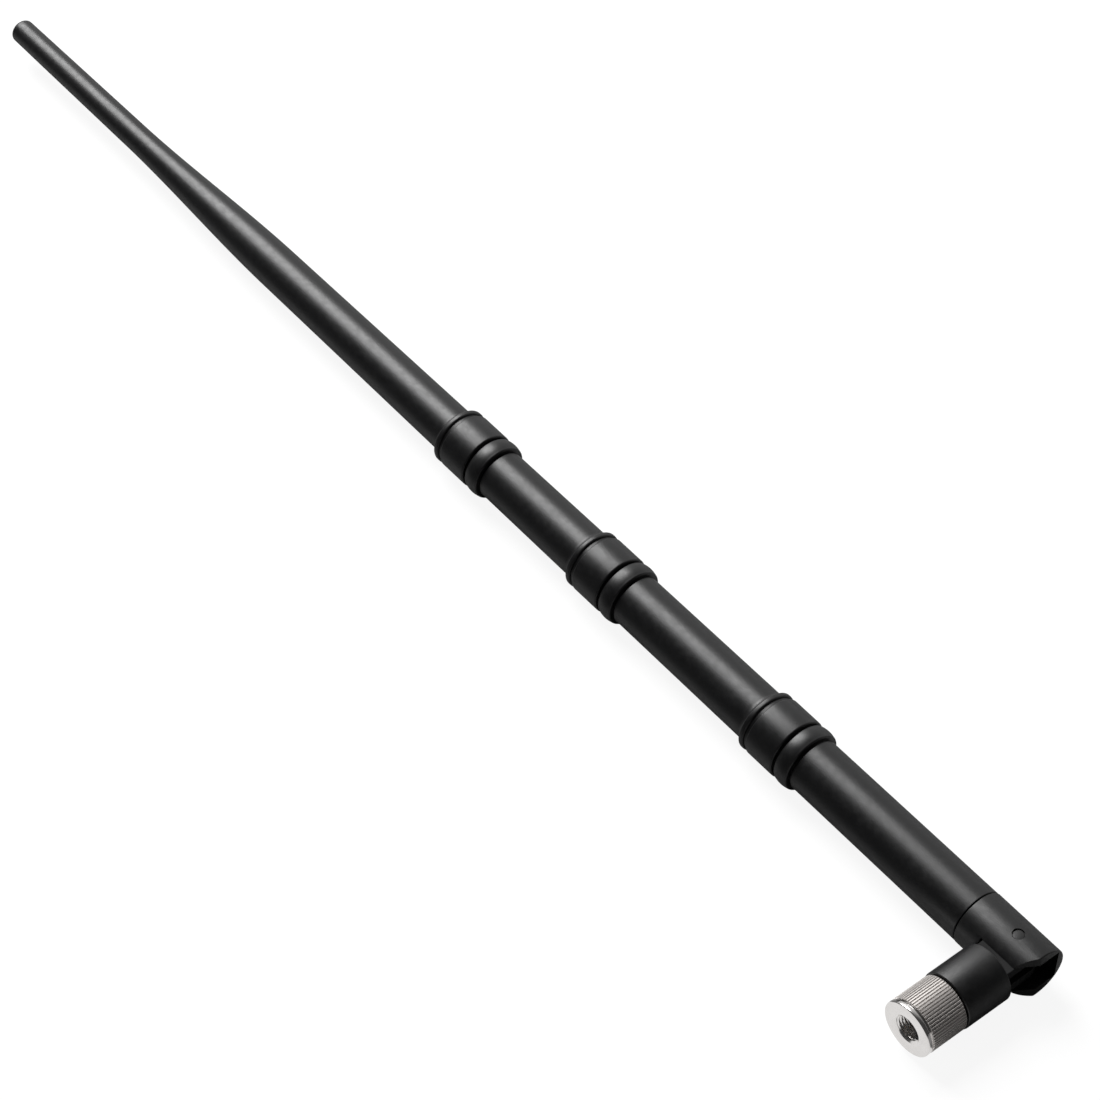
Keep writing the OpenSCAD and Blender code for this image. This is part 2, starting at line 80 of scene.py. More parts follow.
class Line(Enum):
    """The straight lines along which the antenna's parts are made, each with its start and its axes.

    The rows of the matrix give X, Y and Z of the frame from the two directions across and the one along.
    """

    MAST = ((0.0, PIVOT_Y, 0.0), ((0, 0, -1), (0, 1, 0), (1, 0, 0)))
    STUB = ((0.0, PIVOT_Y, 0.0), ((1, 0, 0), (0, 0, -1), (0, 1, 0)))
    COUPLING = ((0.0, FACE_Y, 0.0), ((1, 0, 0), (0, 0, 1), (0, -1, 0)))
    HINGE = ((0.0, PIVOT_Y, 0.0), ((1, 0, 0), (0, 1, 0), (0, 0, 1)))

    def place(self, points: np.ndarray) -> np.ndarray:
        """Turn local millimetres into metres of the frame.

        Args:
            points: array whose last axis holds two distances across the line and one along it.

        Returns:
            An array of the same shape in the frame.
        """
        start, turn = self.value
        return (points @ np.array(turn, float).T + np.array(start)) * MM


def linear(colour: str) -> tuple[float, float, float, float]:
    """Turn an sRGB hex colour into Blender's linear one.

    Args:
        colour: six hex digits after a hash.

    Returns:
        Red, green, blue and a full alpha.
    """
    shares = [int(colour[i:i + 2], 16) / 255 for i in (1, 3, 5)]
    red, green, blue = [s / 12.92 if s <= 0.04045 else ((s + 0.055) / 1.055) ** 2.4 for s in shares]
    return red, green, blue, 1.0


def add_node(tree: bpy.types.NodeTree, kind: str, settings: dict | None = None,
             links: dict | None = None) -> bpy.types.Node:
    """Add one node with its settings and links.

    Args:
        tree: the node tree that gets it.
        kind: the node's type, without the leading ShaderNode.
        settings: values of its properties, or of its input sockets by name or number.
        links: the output socket that feeds each input socket.

    Returns:
        The new node.
    """
    node = tree.nodes.new("ShaderNode" + kind)
    for key, value in (settings or {}).items():
        if isinstance(key, str) and hasattr(node, key):
            setattr(node, key, value)
        else:
            node.inputs[key].default_value = value
    for key, source in (links or {}).items():
        tree.links.new(source, node.inputs[key])
    return node


@dataclass(frozen=True)
class Finish:
    """A finish has a name, and a recipe that fills an empty node tree."""

    name: str

    def shade(self, tree: bpy.types.NodeTree, place: bpy.types.NodeSocket) -> bpy.types.Node:
        """Return the shader node; each kind of finish has its own recipe."""
        raise NotImplementedError

    def make(self) -> bpy.types.Material:
        """Make the material from the recipe, on Object coordinates."""
        material = bpy.data.materials.new(self.name)
        material.use_nodes = True
        tree = material.node_tree
        tree.nodes.clear()
        place = add_node(tree, "TexCoord").outputs["Object"]
        shader = self.shade(tree, place)
        add_node(tree, "OutputMaterial", links={"Surface": shader.outputs[0]})
        return material


@dataclass(frozen=True)
class SparkErodedPlastic(Finish):
    """Black ABS moulded in a spark-eroded tool.

    The tool leaves close, shallow pits, so highlights break up into a soft sparkle with a mottled edge.
    The real pits are about 0.1 mm wide, and are drawn twice as wide to show in the picture. Beyond a
    height along Y the plastic may be rubbed dull.
    """

    deep: str = "#070708"
    pale: str = "#0f0f10"
    pit_mm: float = 0.22
    pit_depth_mm: float = 0.018
    flow_mm: float = 1.3
    roughness: float = 0.4
    roughness_play: float = 0.05
    strength: float = 0.6
    rubbed_from_y: float = FAR_Y
    rubbed: float = 0.85

    def shade(self, tree: bpy.types.NodeTree, place: bpy.types.NodeSocket) -> bpy.types.Node:
        """Mix the two blacks by the pits, and let the flow of the melt change the gloss."""
        pits = add_node(tree, "TexNoise", {"Scale": 1000 / self.pit_mm, "Detail": 2.5, "Roughness": 0.6},
                        {"Vector": place})
        flow = add_node(tree, "TexNoise", {"Scale": 1000 / self.flow_mm, "Detail": 3.0, "Roughness": 0.55},
                        {"Vector": place})
        black = add_node(tree, "Mix", {"data_type": "RGBA", 6: linear(self.deep), 7: linear(self.pale)},
                         {"Factor": pits.outputs["Fac"]})
        gloss = add_node(tree, "MapRange", {
            "To Min": self.roughness - self.roughness_play, "To Max": self.roughness + self.roughness_play,
            "From Min": NOISE_LOW, "From Max": NOISE_HIGH}, {"Value": flow.outputs["Fac"]})
        relief = add_node(tree, "Bump", {"Strength": self.strength, "Distance": self.pit_depth_mm * MM},
                          {"Height": pits.outputs["Fac"]})
        height = add_node(tree, "SeparateXYZ", links={0: place}).outputs["Y"]
        rubbed = add_node(tree, "Math", {"operation": "GREATER_THAN", 1: self.rubbed_from_y * MM},
                          {0: height})
        rough = add_node(tree, "Mix", {3: self.rubbed}, {
            "Factor": rubbed.outputs[0], 2: gloss.outputs["Result"]})
        return add_node(tree, "BsdfPrincipled", {"IOR": 1.5}, {
            "Base Color": black.outputs[2], "Roughness": rough.outputs[0],
            "Normal": relief.outputs["Normal"]})


@dataclass(frozen=True)
class TurnedMetal(Finish):
    """Plated brass that was turned on a lathe.

    The plating copies the tool's fine rings, which draw the light into short arcs on a flat face, and
    handling leaves soft patches that are a little duller.
    """

    colour: str = "#dad8d6"
    tint: str = "#cfccca"
    roughness: float = 0.2
    roughness_play: float = 0.05
    ring_mm: float = 0.16
    ring_depth_mm: float = 0.003
    strength: float = 0.5
    patch_mm: float = 3.0
    across_y: bool = True
    knurl_from_y: float = FAR_Y
    knurl_from_r: float = 5.5
    # The knurl's darker colour is painted shade of its fine grooves
    knurl_painted_shade: str = "#b2aeab"
    knurl_roughness: float = 0.62

    def shade(self, tree: bpy.types.NodeTree, place: bpy.types.NodeSocket) -> bpy.types.Node:
        """Rings are noise along the distance from the turning axis; patches are slow noise."""
        keep = (1, 0, 1) if self.across_y else (0, 1, 1)
        centred = add_node(tree, "VectorMath", {
            "operation": "SUBTRACT", 1: (0, 0, 0) if self.across_y else (0, PIVOT_Y * MM, 0)}, {0: place})
        across = add_node(tree, "VectorMath", {"operation": "MULTIPLY", 1: keep}, {0: centred.outputs[0]})
        radius = add_node(tree, "VectorMath", {"operation": "LENGTH"}, {0: across.outputs[0]})
        rings = add_node(tree, "TexNoise", {"noise_dimensions": "1D", "Scale": 1000 / self.ring_mm,
                                            "Detail": 2.0}, {"W": radius.outputs["Value"]})
        patches = add_node(tree, "TexNoise", {"Scale": 1000 / self.patch_mm, "Detail": 3.0},
                           {"Vector": place})
        plate = add_node(tree, "Mix", {"data_type": "RGBA", 6: linear(self.colour), 7: linear(self.tint)},
                         {"Factor": patches.outputs["Fac"]})
        gloss = add_node(tree, "MapRange", {
            "To Min": self.roughness - self.roughness_play, "To Max": self.roughness + self.roughness_play,
            "From Min": NOISE_LOW, "From Max": NOISE_HIGH}, {"Value": patches.outputs["Fac"]})
        relief = add_node(tree, "Bump", {"Strength": self.strength, "Distance": self.ring_depth_mm * MM},
                          {"Height": rings.outputs["Fac"]})
        knurl = self.knurl(tree, place, radius.outputs["Value"])
        # Painted shade: the knurl is tinted darker for the shade in its fine grooves
        colour = add_node(tree, "Mix", {"data_type": "RGBA", 7: linear(self.knurl_painted_shade)},
                          {"Factor": knurl, 6: plate.outputs[2]})
        rough = add_node(tree, "Mix", {3: self.knurl_roughness},
                         {"Factor": knurl, 2: gloss.outputs["Result"]})
        return add_node(tree, "BsdfPrincipled", {"Metallic": 1.0}, {
            "Base Color": colour.outputs[2], "Roughness": rough.outputs[0],
            "Normal": relief.outputs["Normal"]})

    def knurl(self, tree: bpy.types.NodeTree, place: bpy.types.NodeSocket,
              radius: bpy.types.NodeSocket) -> bpy.types.NodeSocket:
        """Return 1 on the rolled knurl, which is duller than the turned faces and tinted darker as painted
        shade of its fine grooves, and 0 elsewhere.
        """
        height = add_node(tree, "SeparateXYZ", links={0: place}).outputs["Y"]
        behind = add_node(tree, "Math", {"operation": "GREATER_THAN", 1: self.knurl_from_y * MM},
                          {0: height})
        outside = add_node(tree, "Math", {"operation": "GREATER_THAN", 1: self.knurl_from_r * MM},
                           {0: radius})
        both = add_node(tree, "Math", {"operation": "MULTIPLY"}, {
            0: behind.outputs[0], 1: outside.outputs[0]})
        return both.outputs[0]


@dataclass(frozen=True)
class CutPolymer(Finish):
    """A plain polymer that was cut, turned or extruded, with its own fine grain."""

    colour: str = "#f3f1ec"
    shadow: str = "#e8e5de"
    grain_mm: float = 0.3
    grain_depth_mm: float = 0.01
    strength: float = 0.5
    roughness: float = 0.45
    ior: float = 1.4

    def shade(self, tree: bpy.types.NodeTree, place: bpy.types.NodeSocket) -> bpy.types.Node:
        """One noise gives the grain's relief and tints its hollows."""
        grain = add_node(tree, "TexNoise", {"Scale": 1000 / self.grain_mm, "Detail": 3.0},
                         {"Vector": place})
        body = add_node(tree, "Mix", {"data_type": "RGBA", 6: linear(self.shadow), 7: linear(self.colour)},
                        {"Factor": grain.outputs["Fac"]})
        relief = add_node(tree, "Bump", {"Strength": self.strength, "Distance": self.grain_depth_mm * MM},
                          {"Height": grain.outputs["Fac"]})
        return add_node(tree, "BsdfPrincipled", {"IOR": self.ior, "Roughness": self.roughness}, {
            "Base Color": body.outputs[2], "Normal": relief.outputs["Normal"]})


class Slot(Enum):
    """The record's material slots, each with the finish that a piece in it gets."""

    # Satin black with a close sparkle, as the tubes come out of their tool
    BLACK_PLASTIC = ("black_plastic", SparkErodedPlastic("ABS moulded, spark eroded, tubes"))
    # The same black, a little duller and darker, as on the knuckle; the darker black is painted shade
    KNUCKLE_PLASTIC = ("knuckle_plastic", SparkErodedPlastic(
        "ABS moulded, spark eroded, knuckle, painted shade", deep="#050506", pale="#0b0b0c", roughness=0.43))
    # The same again, with the darker black as painted shade, and the tongue rubbed dull in the yoke
    STUB_PLASTIC = ("knuckle_plastic", SparkErodedPlastic(
        "ABS moulded, spark eroded, stub, painted shade", deep="#050506", pale="#0b0b0c", roughness=0.43,
        rubbed_from_y=PIVOT_Y - 7.3))
    # A smoother black with softer highlights, set in the shadow of the pins' rings, and darker like the
    # knuckle's black as painted shade
    PIN_PLASTIC = ("pin_plastic", SparkErodedPlastic(
        "acetal moulded, pins, painted shade", deep="#050506", pale="#0b0b0c", pit_depth_mm=0.004, roughness=0.48))
    # Bright pale metal that mirrors the room, with a touch of warmth, and a knurl tinted darker as painted
    # shade of its grooves
    NICKEL_PLATE = ("nickel_plate", TurnedMetal(
        "nickel plate on turned brass, knurl in painted shade", knurl_from_y=FACE_Y + 1.6))
    # Yellow metal, soft because the plating is thin
    GOLD_PLATE = ("gold_plate", TurnedMetal(
        "gold plate on turned brass", colour="#e2b867", tint="#d3a552", roughness=0.26))
    # Brownish metal with the die's fine lines
    SPRING_BRONZE = ("spring_bronze", TurnedMetal(
        "phosphor bronze drawn wire", colour="#c08a4e", tint="#a8743c", roughness=0.32))
    # Yellow brown metal, slightly dull from drawing
    BRASS_TUBE = ("brass_tube", TurnedMetal(
        "brass drawn tube", colour="#cfa455", tint="#b98d45", roughness=0.34, across_y=False))
    # Red brown wire under clear enamel
    COPPER_WIRE = ("copper_wire", TurnedMetal(
        "copper drawn wire, enamelled", colour="#c4703f", tint="#a95a2f", roughness=0.24, across_y=False))
    # Chalky white with the tool's faint marks
    WHITE_INSULATOR = ("white_insulator", CutPolymer("fluoropolymer turned"))
    # Tight brown skin with a slight shine
    CABLE_JACKET = ("cable_jacket", CutPolymer(
        "fluoropolymer extruded jacket", colour="#5a3a22", shadow="#4c301c", roughness=0.3))
    # Dull off white with open cells
    FOAM_SPACER = ("foam_spacer", CutPolymer(
        "polyethylene foam cut", colour="#dcd9cf", shadow="#bdb9ad", grain_mm=0.5, grain_depth_mm=0.12,
        roughness=0.8, ior=1.5))

    @property
    def label(self) -> str:
        """The slot's name in the record."""
        return self.value[0]

    def material(self) -> bpy.types.Material:
        """Return the slot's material, made the first time that it is asked for."""
        finish = self.value[1]
        return bpy.data.materials.get(finish.name) or finish.make()


def dress(piece: bpy.types.Object, slot: Slot) -> None:
    """Give a piece or a CAD node the finish of a slot, in place of what it wore."""
    piece.data.materials.clear()
    piece.data.materials.append(slot.material())


def grid_faces(rows: int, columns: int, rows_close: bool, columns_close: bool = True) -> np.ndarray:
    """Number the four corners of every face of a grid.

    Face (i, j) joins the points (i, j), (i, j + 1), (i + 1, j + 1) and (i + 1, j), and an index wraps
    round where its direction closes.

    Args:
        rows: number of rows of points.
        columns: number of points in a row.
        rows_close: whether the last row joins the first.
        columns_close: whether the last point of a row joins the first.

    Returns:
        An array of faces, four indices each.
    """
    i = np.arange(rows if rows_close else rows - 1)[:, None]
    j = np.arange(columns if columns_close else columns - 1)[None, :]
    down, along = (i + 1) % rows, (j + 1) % columns
    corners = [i * columns + j, i * columns + along, down * columns + along, down * columns + j]
    return np.stack([np.broadcast_to(c, (i.size, j.size)) for c in corners], -1).reshape(-1, 4)


def make_piece(name: str, points: np.ndarray, faces: np.ndarray, slot: Slot, body: str,
               replaced: tuple[str, ...] = (), crease_deg: float = 32.0) -> bpy.types.Object:
    """Put a closed surface into a mesh object, dressed and riding on its body.

    The volume under the faces, a sixth of the sum of their corners' triple products, tells which way
    they point, and they are turned where it is negative.

    Args:
        name: the piece's name.
        points: corners in metres, in any shape that ends in three.
        faces: corner numbers, four a face.
        slot: the finish.
        body: the CAD body that carries it.
        replaced: the CAD nodes that it stands for.
        crease_deg: edges sharper than this stay crisp.

    Returns:
        The object.
    """
    points = points.reshape(-1, 3)
    a, b, c, d = (points[faces[:, k]] for k in range(4))
    volume = np.einsum("ij,ij->i", a, np.cross(b, c) + np.cross(c, d)).sum()
    if volume < 0:
        faces = faces[:, ::-1]
    mesh = bpy.data.meshes.new(name)
    mesh.from_pydata(points.tolist(), [], faces.tolist())
    merge(mesh)
    mesh.polygons.foreach_set("use_smooth", np.ones(len(mesh.polygons), bool))
    mesh.set_sharp_from_angle(angle=math.radians(crease_deg))
    piece = bpy.data.objects.new(name, mesh)
    bpy.context.scene.collection.objects.link(piece)
    dress(piece, slot)
    if body:
        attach(piece, body)
    if replaced:
        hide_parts(*replaced)
    LOG.info("%s: %d faces, %s, on %s", name, len(mesh.polygons), slot.label, body or "two bodies")
    return piece


def merge(mesh: bpy.types.Mesh, flat_deg: float = 0.0) -> None:
    """Join corners that lie within a ten thousandth of a millimetre, which closes poles.

    Args:
        mesh: the mesh to mend.
        flat_deg: where this is above zero, faces that meet within this angle become one.
    """
    work = bmesh.new()
    work.from_mesh(mesh)
    bmesh.ops.remove_doubles(work, verts=work.verts, dist=1e-7)
    if flat_deg:
        bmesh.ops.dissolve_limit(work, angle_limit=math.radians(flat_deg), verts=work.verts,
                                 edges=work.edges, use_dissolve_boundaries=False)
    work.to_mesh(mesh)
    work.free()


def arc(across: float, along: float, radius: float, first: float, last: float, steps: int = 8
        ) -> np.ndarray:
    """Points on a round: centre plus radius times cosine and sine, from the first to the last degree."""
    angle = np.radians(np.linspace(first, last, steps + 1))
    return np.stack([across + radius * np.cos(angle), along + radius * np.sin(angle)], -1)


def outline(*parts: object) -> np.ndarray:
    """Join arcs and single points to one profile of distances from the axis and along it."""
    return np.concatenate([np.asarray(part, float).reshape(-1, 2) for part in parts])


def turned(profile: np.ndarray, angles: np.ndarray, line: Line, raise_by: np.ndarray | float = 0.0
           ) -> np.ndarray:
    """Carry a profile round a line: across is the radius times cosine and sine of the angle.

    Args:
        profile: distances from the axis and along it.
        angles: the angles of the columns, in radians.
        line: the line that it turns about.
        raise_by: what is added to the radius, for each point and angle.

    Returns:
        A grid of points in the frame.
    """
    radius = profile[:, :1] + raise_by + 0.0 * angles[None, :]
    along = np.broadcast_to(profile[:, 1:], radius.shape)
    return line.place(np.stack([radius * np.cos(angles), radius * np.sin(angles), along], -1))


@dataclass
class Mast:
    """The four tubes with their collars, from the knuckle to the closed tip."""

    starts: tuple[float, ...] = (11.2, 61.0, 118.5, 165.2)
    low_d: tuple[float, ...] = (12.9, 12.55, 12.15, 11.15)
    top_d: tuple[float, ...] = (12.7, 12.3, 11.9, 10.45)
    slim_d: tuple[float, float] = (6.6, 6.1)
    taper_at: float = 246.0
    taper_l: float = 62.0
    length: float = 356.0
    wall: float = 1.4
    ring_w: float = 3.8
    groove_w: float = 0.7
    band_w: float = 8.2
    line_w: float = 0.8
    line_depth: float = 0.5
    shoulder_w: float = 1.4
    flare_w: float = 1.3
    band_out: float = 1.06
    ring_out: float = 0.08
    round_r: float = 0.45
    crown_fall: float = 0.22
    foot_groove: float = 0.3
    edge_round: float = 0.15
    tip_round: float = 1.1
    end_gap: float = 0.3
    seat_gap: float = 0.05
    columns: int = 144
    parting_deg: tuple[float, float] = (83.0, 263.0)
    parting_h: float = 0.035
    parting_w: float = 0.7
    parting_fit: float = 0.03
    flash_at: float = 17.5
    flash_l: float = 3.5
    flash_h: float = 0.06

    def ring(self, at: float, radius: float) -> np.ndarray:
        """Profile of the crowned ring at a tube's upper end, and of the spigot beyond it.

        The crown is the ring's outer radius less its fall times the square of the share of the way
        from its middle to its edges. A narrow groove at its foot is the joint's deep shadow.
        """
        top, out, c = at + self.ring_w, radius + self.band_out + self.ring_out, self.round_r
        end = top + self.groove_w + self.band_w - self.end_gap
        low, high, edge, foot = at + c, top - c / 2, out - self.crown_fall, self.foot_groove
        share = np.linspace(-1, 1, 15)
        crown = np.stack([out - self.crown_fall * share ** 2,
                          (low + high) / 2 + (high - low) / 2 * share], -1)
        return outline([radius, at - 2 * foot], [radius - foot, at - foot], [radius - foot, at],
                       arc(edge - c, low, c, -90, -10), crown,
                       arc(edge - c / 2, high, c / 2, 10, 90), [radius, top], [radius, end])

    def band(self, at: float, radius: float, above: float) -> np.ndarray:
        """Profile of the band, its line, its shoulder and the hollow flare down to the tube.

        The flare falls from the shoulder's rim by the sine of its angle while it climbs by one less the
        cosine, so it leaves the rim steeply and meets the tube along it.
        """
        out, c = radius + self.band_out, self.round_r
        z0 = at + self.ring_w + self.groove_w
        z1 = z0 + self.band_w
        z2 = z1 + self.line_w
        z3 = z2 + self.shoulder_w
        turn = np.radians(np.linspace(0, 90, 13))[1:]
        flare = np.stack([out - c + (above - out + c) * np.sin(turn),
                          z3 + self.flare_w * (1 - np.cos(turn))], -1)
        line = self.line_depth
        return outline(arc(out - c, z0 + c, c, -90, 0), arc(out - c, z1 - c, c, 0, 60),
                       [out - line, z1], [out - line, z2], arc(out - line, z2 + line, line, -90, 0),
                       arc(out - c, z3 - c, c, 0, 90), flare)

    def socket(self, at: float, radius: float, bore: float) -> np.ndarray:
        """Profile of the socket's step and wall, from the bore down to the band's mouth."""
        z0 = at + self.ring_w + self.groove_w
        fit = radius + self.seat_gap
        return outline([bore, z0 + self.band_w], [fit, z0 + self.band_w], [fit, z0])

    def taper(self) -> np.ndarray:
        """Profile of the taper: the radius eases from the whip to the slim end by 3 t t - 2 t t t."""
        t = np.linspace(0, 1, 41)
        r0, r1 = self.top_d[3] / 2, self.slim_d[0] / 2
        return np.stack([r0 + (r1 - r0) * t * t * (3 - 2 * t), self.taper_at + self.taper_l * t], -1)

    def profiles(self) -> dict[str, np.ndarray]:
        """Closed profiles of the four tubes, by their CAD names."""
        bores = [d / 2 - self.wall for d in self.top_d]
        spigot_end = self.ring_w + self.groove_w + self.band_w - self.end_gap
        low, top, at = self.low_d, self.top_d, self.starts
        rows = np.linspace(at[0] + self.edge_round, at[1] - 2, 40)
        plain = np.stack([np.interp(rows, at[:2], (low[0] / 2, top[0] / 2)), rows], -1)
        made = {"radome_lower": outline(
            [bores[0], at[0]], [low[0] / 2 - self.edge_round, at[0]], plain,
            self.ring(at[1], top[0] / 2), [bores[0], at[1] + spigot_end])}
        for name, k in (("radome_middle", 1), ("radome_upper", 2)):
            made[name] = outline(
                self.band(at[k], top[k - 1] / 2, low[k] / 2), self.ring(at[k + 1], top[k] / 2),
                [bores[k], at[k + 1] + spigot_end], self.socket(at[k], top[k - 1] / 2, bores[k]))
        tip, slim = self.slim_d[1] / 2, self.slim_d[0] / 2 - self.wall
        made["radome_whip"] = outline(
            [0, self.length - 2 * self.wall], [slim, self.length - 2 * self.wall],
            [slim, self.taper_at + self.taper_l], [bores[3], self.taper_at],
            self.socket(at[3], top[2] / 2, bores[3]), self.band(at[3], top[2] / 2, low[3] / 2),
            self.taper(),
            arc(tip - self.tip_round, self.length - self.tip_round, self.tip_round, 0, 90, 12),
            [0, self.length])
        return made

    def angles(self) -> np.ndarray:
        """Angles of the columns, closer together over the two parting lines."""
        even = np.linspace(0, 360, self.columns, endpoint=False)
        near = np.add.outer(self.parting_deg, self.parting_w * np.array([-2, -1, -0.5, 0, 0.5, 1, 2]))
        away = np.abs(even[:, None] - np.array(self.parting_deg)).min(1) > 2.5 * self.parting_w
        return np.radians(np.sort(np.concatenate([even[away], near.ravel()])))

    def parting(self, profile: np.ndarray, tube: int, angles: np.ndarray) -> np.ndarray:
        """Height of the two mould lines over the plain stretch of a tube.

        A line is its height times a bell of the angle from it. On the lower tube the height grows by a
        bell of the distance along, where the mould's halves let a little flash through.

        Args:
            profile: the tube's closed profile.
            tube: the tube's number, from the knuckle.
            angles: the angles of the columns, in radians.

        Returns:
            What the lines add to the radius, for each point and angle.
        """
        along = profile[:, 1]
        ends = (*self.starts[1:], self.length)
        plain = np.interp(along, (self.starts[tube], ends[tube]), (self.low_d[tube], self.top_d[tube])) / 2
        if tube == 3:
            taper = self.taper()
            plain = np.interp(along, [self.starts[3], *taper[:, 1], self.length],
                              [self.low_d[3] / 2, *taper[:, 0], self.slim_d[1] / 2])
        on_tube = (np.abs(profile[:, 0] - plain) < self.parting_fit) & (along <= ends[tube])
        flash = self.flash_h * np.exp(-((along - self.flash_at) / self.flash_l) ** 2) * (tube == 0)
        away = np.degrees(angles)[:, None] - np.array(self.parting_deg)
        bell = np.exp(-(away / self.parting_w) ** 2).sum(1)
        return (on_tube * (self.parting_h + flash))[:, None] * bell

    def build(self) -> None:
        """Make the four tubes in the place of their CAD nodes; the whip's skin ends in two poles."""
        angles = self.angles()
        for tube, (name, profile) in enumerate(self.profiles().items()):
            profile = profile[np.r_[True, np.abs(np.diff(profile, axis=0)).sum(1) > 1e-6]]
            points = turned(profile, angles, Line.MAST, self.parting(profile, tube, angles))
            make_piece(name.replace("radome", "tube"), points,
                       grid_faces(len(profile), len(angles), bool(profile[0, 0])),
                       Slot.BLACK_PLASTIC, "mast", (name,))


@dataclass
class CouplingNut:
    """The knurled nut with its front band and groove, and a real screw thread in its mouth."""

    radius: float = 6.4
    length: float = 10.5
    bevel: float = 0.25
    band_w: float = 0.95
    groove_w: float = 0.6
    groove_depth: float = 0.6
    ridges: int = 60
    ridge_depth: float = 0.22
    ridge_top: float = 0.45
    ridge_foot: float = 0.68
    ridge_rise: float = 0.8
    column_shares: tuple[float, ...] = (0.0, 0.22, 0.45, 0.56, 0.68, 0.8, 0.9)
    knurl_start: float = 0.12
    rear_bevel: float = 0.4
    edge: float = 0.08
    mouth_edge: float = 0.05
    mouth_r: float = 3.5
    mouth_l: float = 0.45
    crest_r: float = 2.85
    thread_l: float = 3.0
    thread_depth: float = 0.3
    pitch: float = 0.7056
    thread_flat: float = 0.22
    thread_flank: float = 0.66
    thread_rows: int = 48
    relief_r: float = 3.45
    journal_at: float = 5.6
    journal_r: float = 3.25
    clip_r: float = 3.725
    clip_at: float = 7.6
    clip_half: float = 0.35
    end_gap: float = 0.3

    def columns(self) -> np.ndarray:
        """Angles of the columns: seven in each ridge's pitch, at its corners and between them."""
        first = np.arange(self.ridges)[:, None]
        return ((first + np.array(self.column_shares)) * 2 * np.pi / self.ridges).ravel()

    def knurl(self, angles: np.ndarray) -> np.ndarray:
        """Radius of the knurl: full on a ridge's flat top, less by its depth in the groove between."""
        share = (angles * self.ridges / (2 * np.pi)) % 1.0
        depth = np.interp(share, [0.0, self.ridge_top, self.ridge_foot, self.ridge_rise, 1.0],
                          [0.0, 0.0, 1.0, 1.0, 0.0])
        return self.radius - self.ridge_depth * depth

    def thread(self, along: np.ndarray, angles: np.ndarray) -> np.ndarray:
        """Radius of the right-handed thread.

        The phase is the depth over the pitch less the share of a turn. A wedge of that phase, with its
        crest and its root cut flat, gives how deep the groove is.
        """
        phase = (along[:, None] / self.pitch - angles[None, :] / (2 * np.pi)) % 1.0
        wedge = np.clip((np.abs(2 * phase - 1) - self.thread_flat) / self.thread_flank, 0, 1)
        return self.crest_r + self.thread_depth * wedge

    def build(self) -> None:
        """Join the outer profile, the inner steps and the thread into one closed skin."""
        angles = self.columns()
        knurl_at, b = self.band_w + self.groove_w, self.bevel
        floor_r = self.radius - self.groove_depth
        e = self.edge
        front = outline(
            [self.mouth_r + self.mouth_edge, 0], arc(self.radius - b, b, b, -90, 0),
            arc(self.radius - e, self.band_w - e, e, 0, 90, 3), [floor_r, self.band_w],
            [floor_r, knurl_at], [self.radius - self.ridge_depth - self.knurl_start, knurl_at])
        sides = outline(
            arc(self.radius - b, knurl_at + b, b, -90, 0),
            arc(self.radius - self.rear_bevel, self.length - self.rear_bevel, self.rear_bevel, 0, 90))
        back = outline(
            [self.journal_r, self.length], [self.journal_r, self.clip_at + self.clip_half],
            [self.clip_r, self.clip_at + self.clip_half], [self.clip_r, self.clip_at - self.clip_half],
            [self.journal_r, self.clip_at - self.clip_half],
            [self.journal_r, self.journal_at + self.end_gap],
            [self.relief_r, self.journal_at + self.end_gap],
            [self.relief_r, self.mouth_l + self.thread_l])
        depth = np.linspace(self.mouth_l + self.thread_l, 0.02, self.thread_rows)
        mouth = np.interp(depth, [0, self.mouth_l], [self.mouth_r, self.crest_r])
        screw = np.maximum(self.thread(depth, angles), mouth[:, None])
        spread = np.ones((1, len(angles)))
        radius = np.concatenate([
            front[:, :1] * spread, np.minimum(sides[:, :1], self.knurl(angles)), back[:, :1] * spread,
            screw])
        along = np.concatenate([front[:, 1], sides[:, 1], back[:, 1], depth])
        points = Line.COUPLING.place(np.stack([
            radius * np.cos(angles), radius * np.sin(angles), along[:, None] * spread], -1))
        make_piece("knurled_nut", points, grid_faces(len(along), len(angles), True),
                   Slot.NICKEL_PLATE, "nut", ("coupling_nut",))


@dataclass
class Plug:
    """The white core and the gold contact that show in the nut's mouth."""

    core_r: float = 2.05
    core_hole_r: float = 0.66
    core_at: float = 3.0
    core_l: float = 6.0
    contact_r: float = 0.635
    contact_hole_r: float = 0.47
    contact_hole_l: float = 3.6
    round_r: float = 0.12
    columns: int = 96

    def build(self) -> None:
        """Make the core as a ring and the contact as a blind tube, both with broken edges."""
        angles = np.linspace(0, 2 * np.pi, self.columns, endpoint=False)
        at, end, c = self.core_at, self.core_at + self.core_l, self.round_r
        core = outline(arc(self.core_r - c, at + c, c, -90, 0), [self.core_r, end],
                       [self.core_hole_r, end], [self.core_hole_r, at + 0.05],
                       [self.core_hole_r + 0.05, at])
        make_piece("white_core", turned(core, angles, Line.COUPLING),
                   grid_faces(len(core), self.columns, True), Slot.WHITE_INSULATOR, "plug",
                   ("insulating_core",))
        lip = (self.contact_r - self.contact_hole_r) / 2
        contact = outline(
            [0, end], [self.contact_r, end], [self.contact_r, at + lip],
            arc(self.contact_r - lip, at + lip, lip, 0, -180, 10),
            [self.contact_hole_r, at + self.contact_hole_l], [0, at + self.contact_hole_l])
        make_piece("gold_contact", turned(contact, angles, Line.COUPLING),
                   grid_faces(len(contact), self.columns, False), Slot.GOLD_PLATE, "plug",
                   ("centre_contact",))


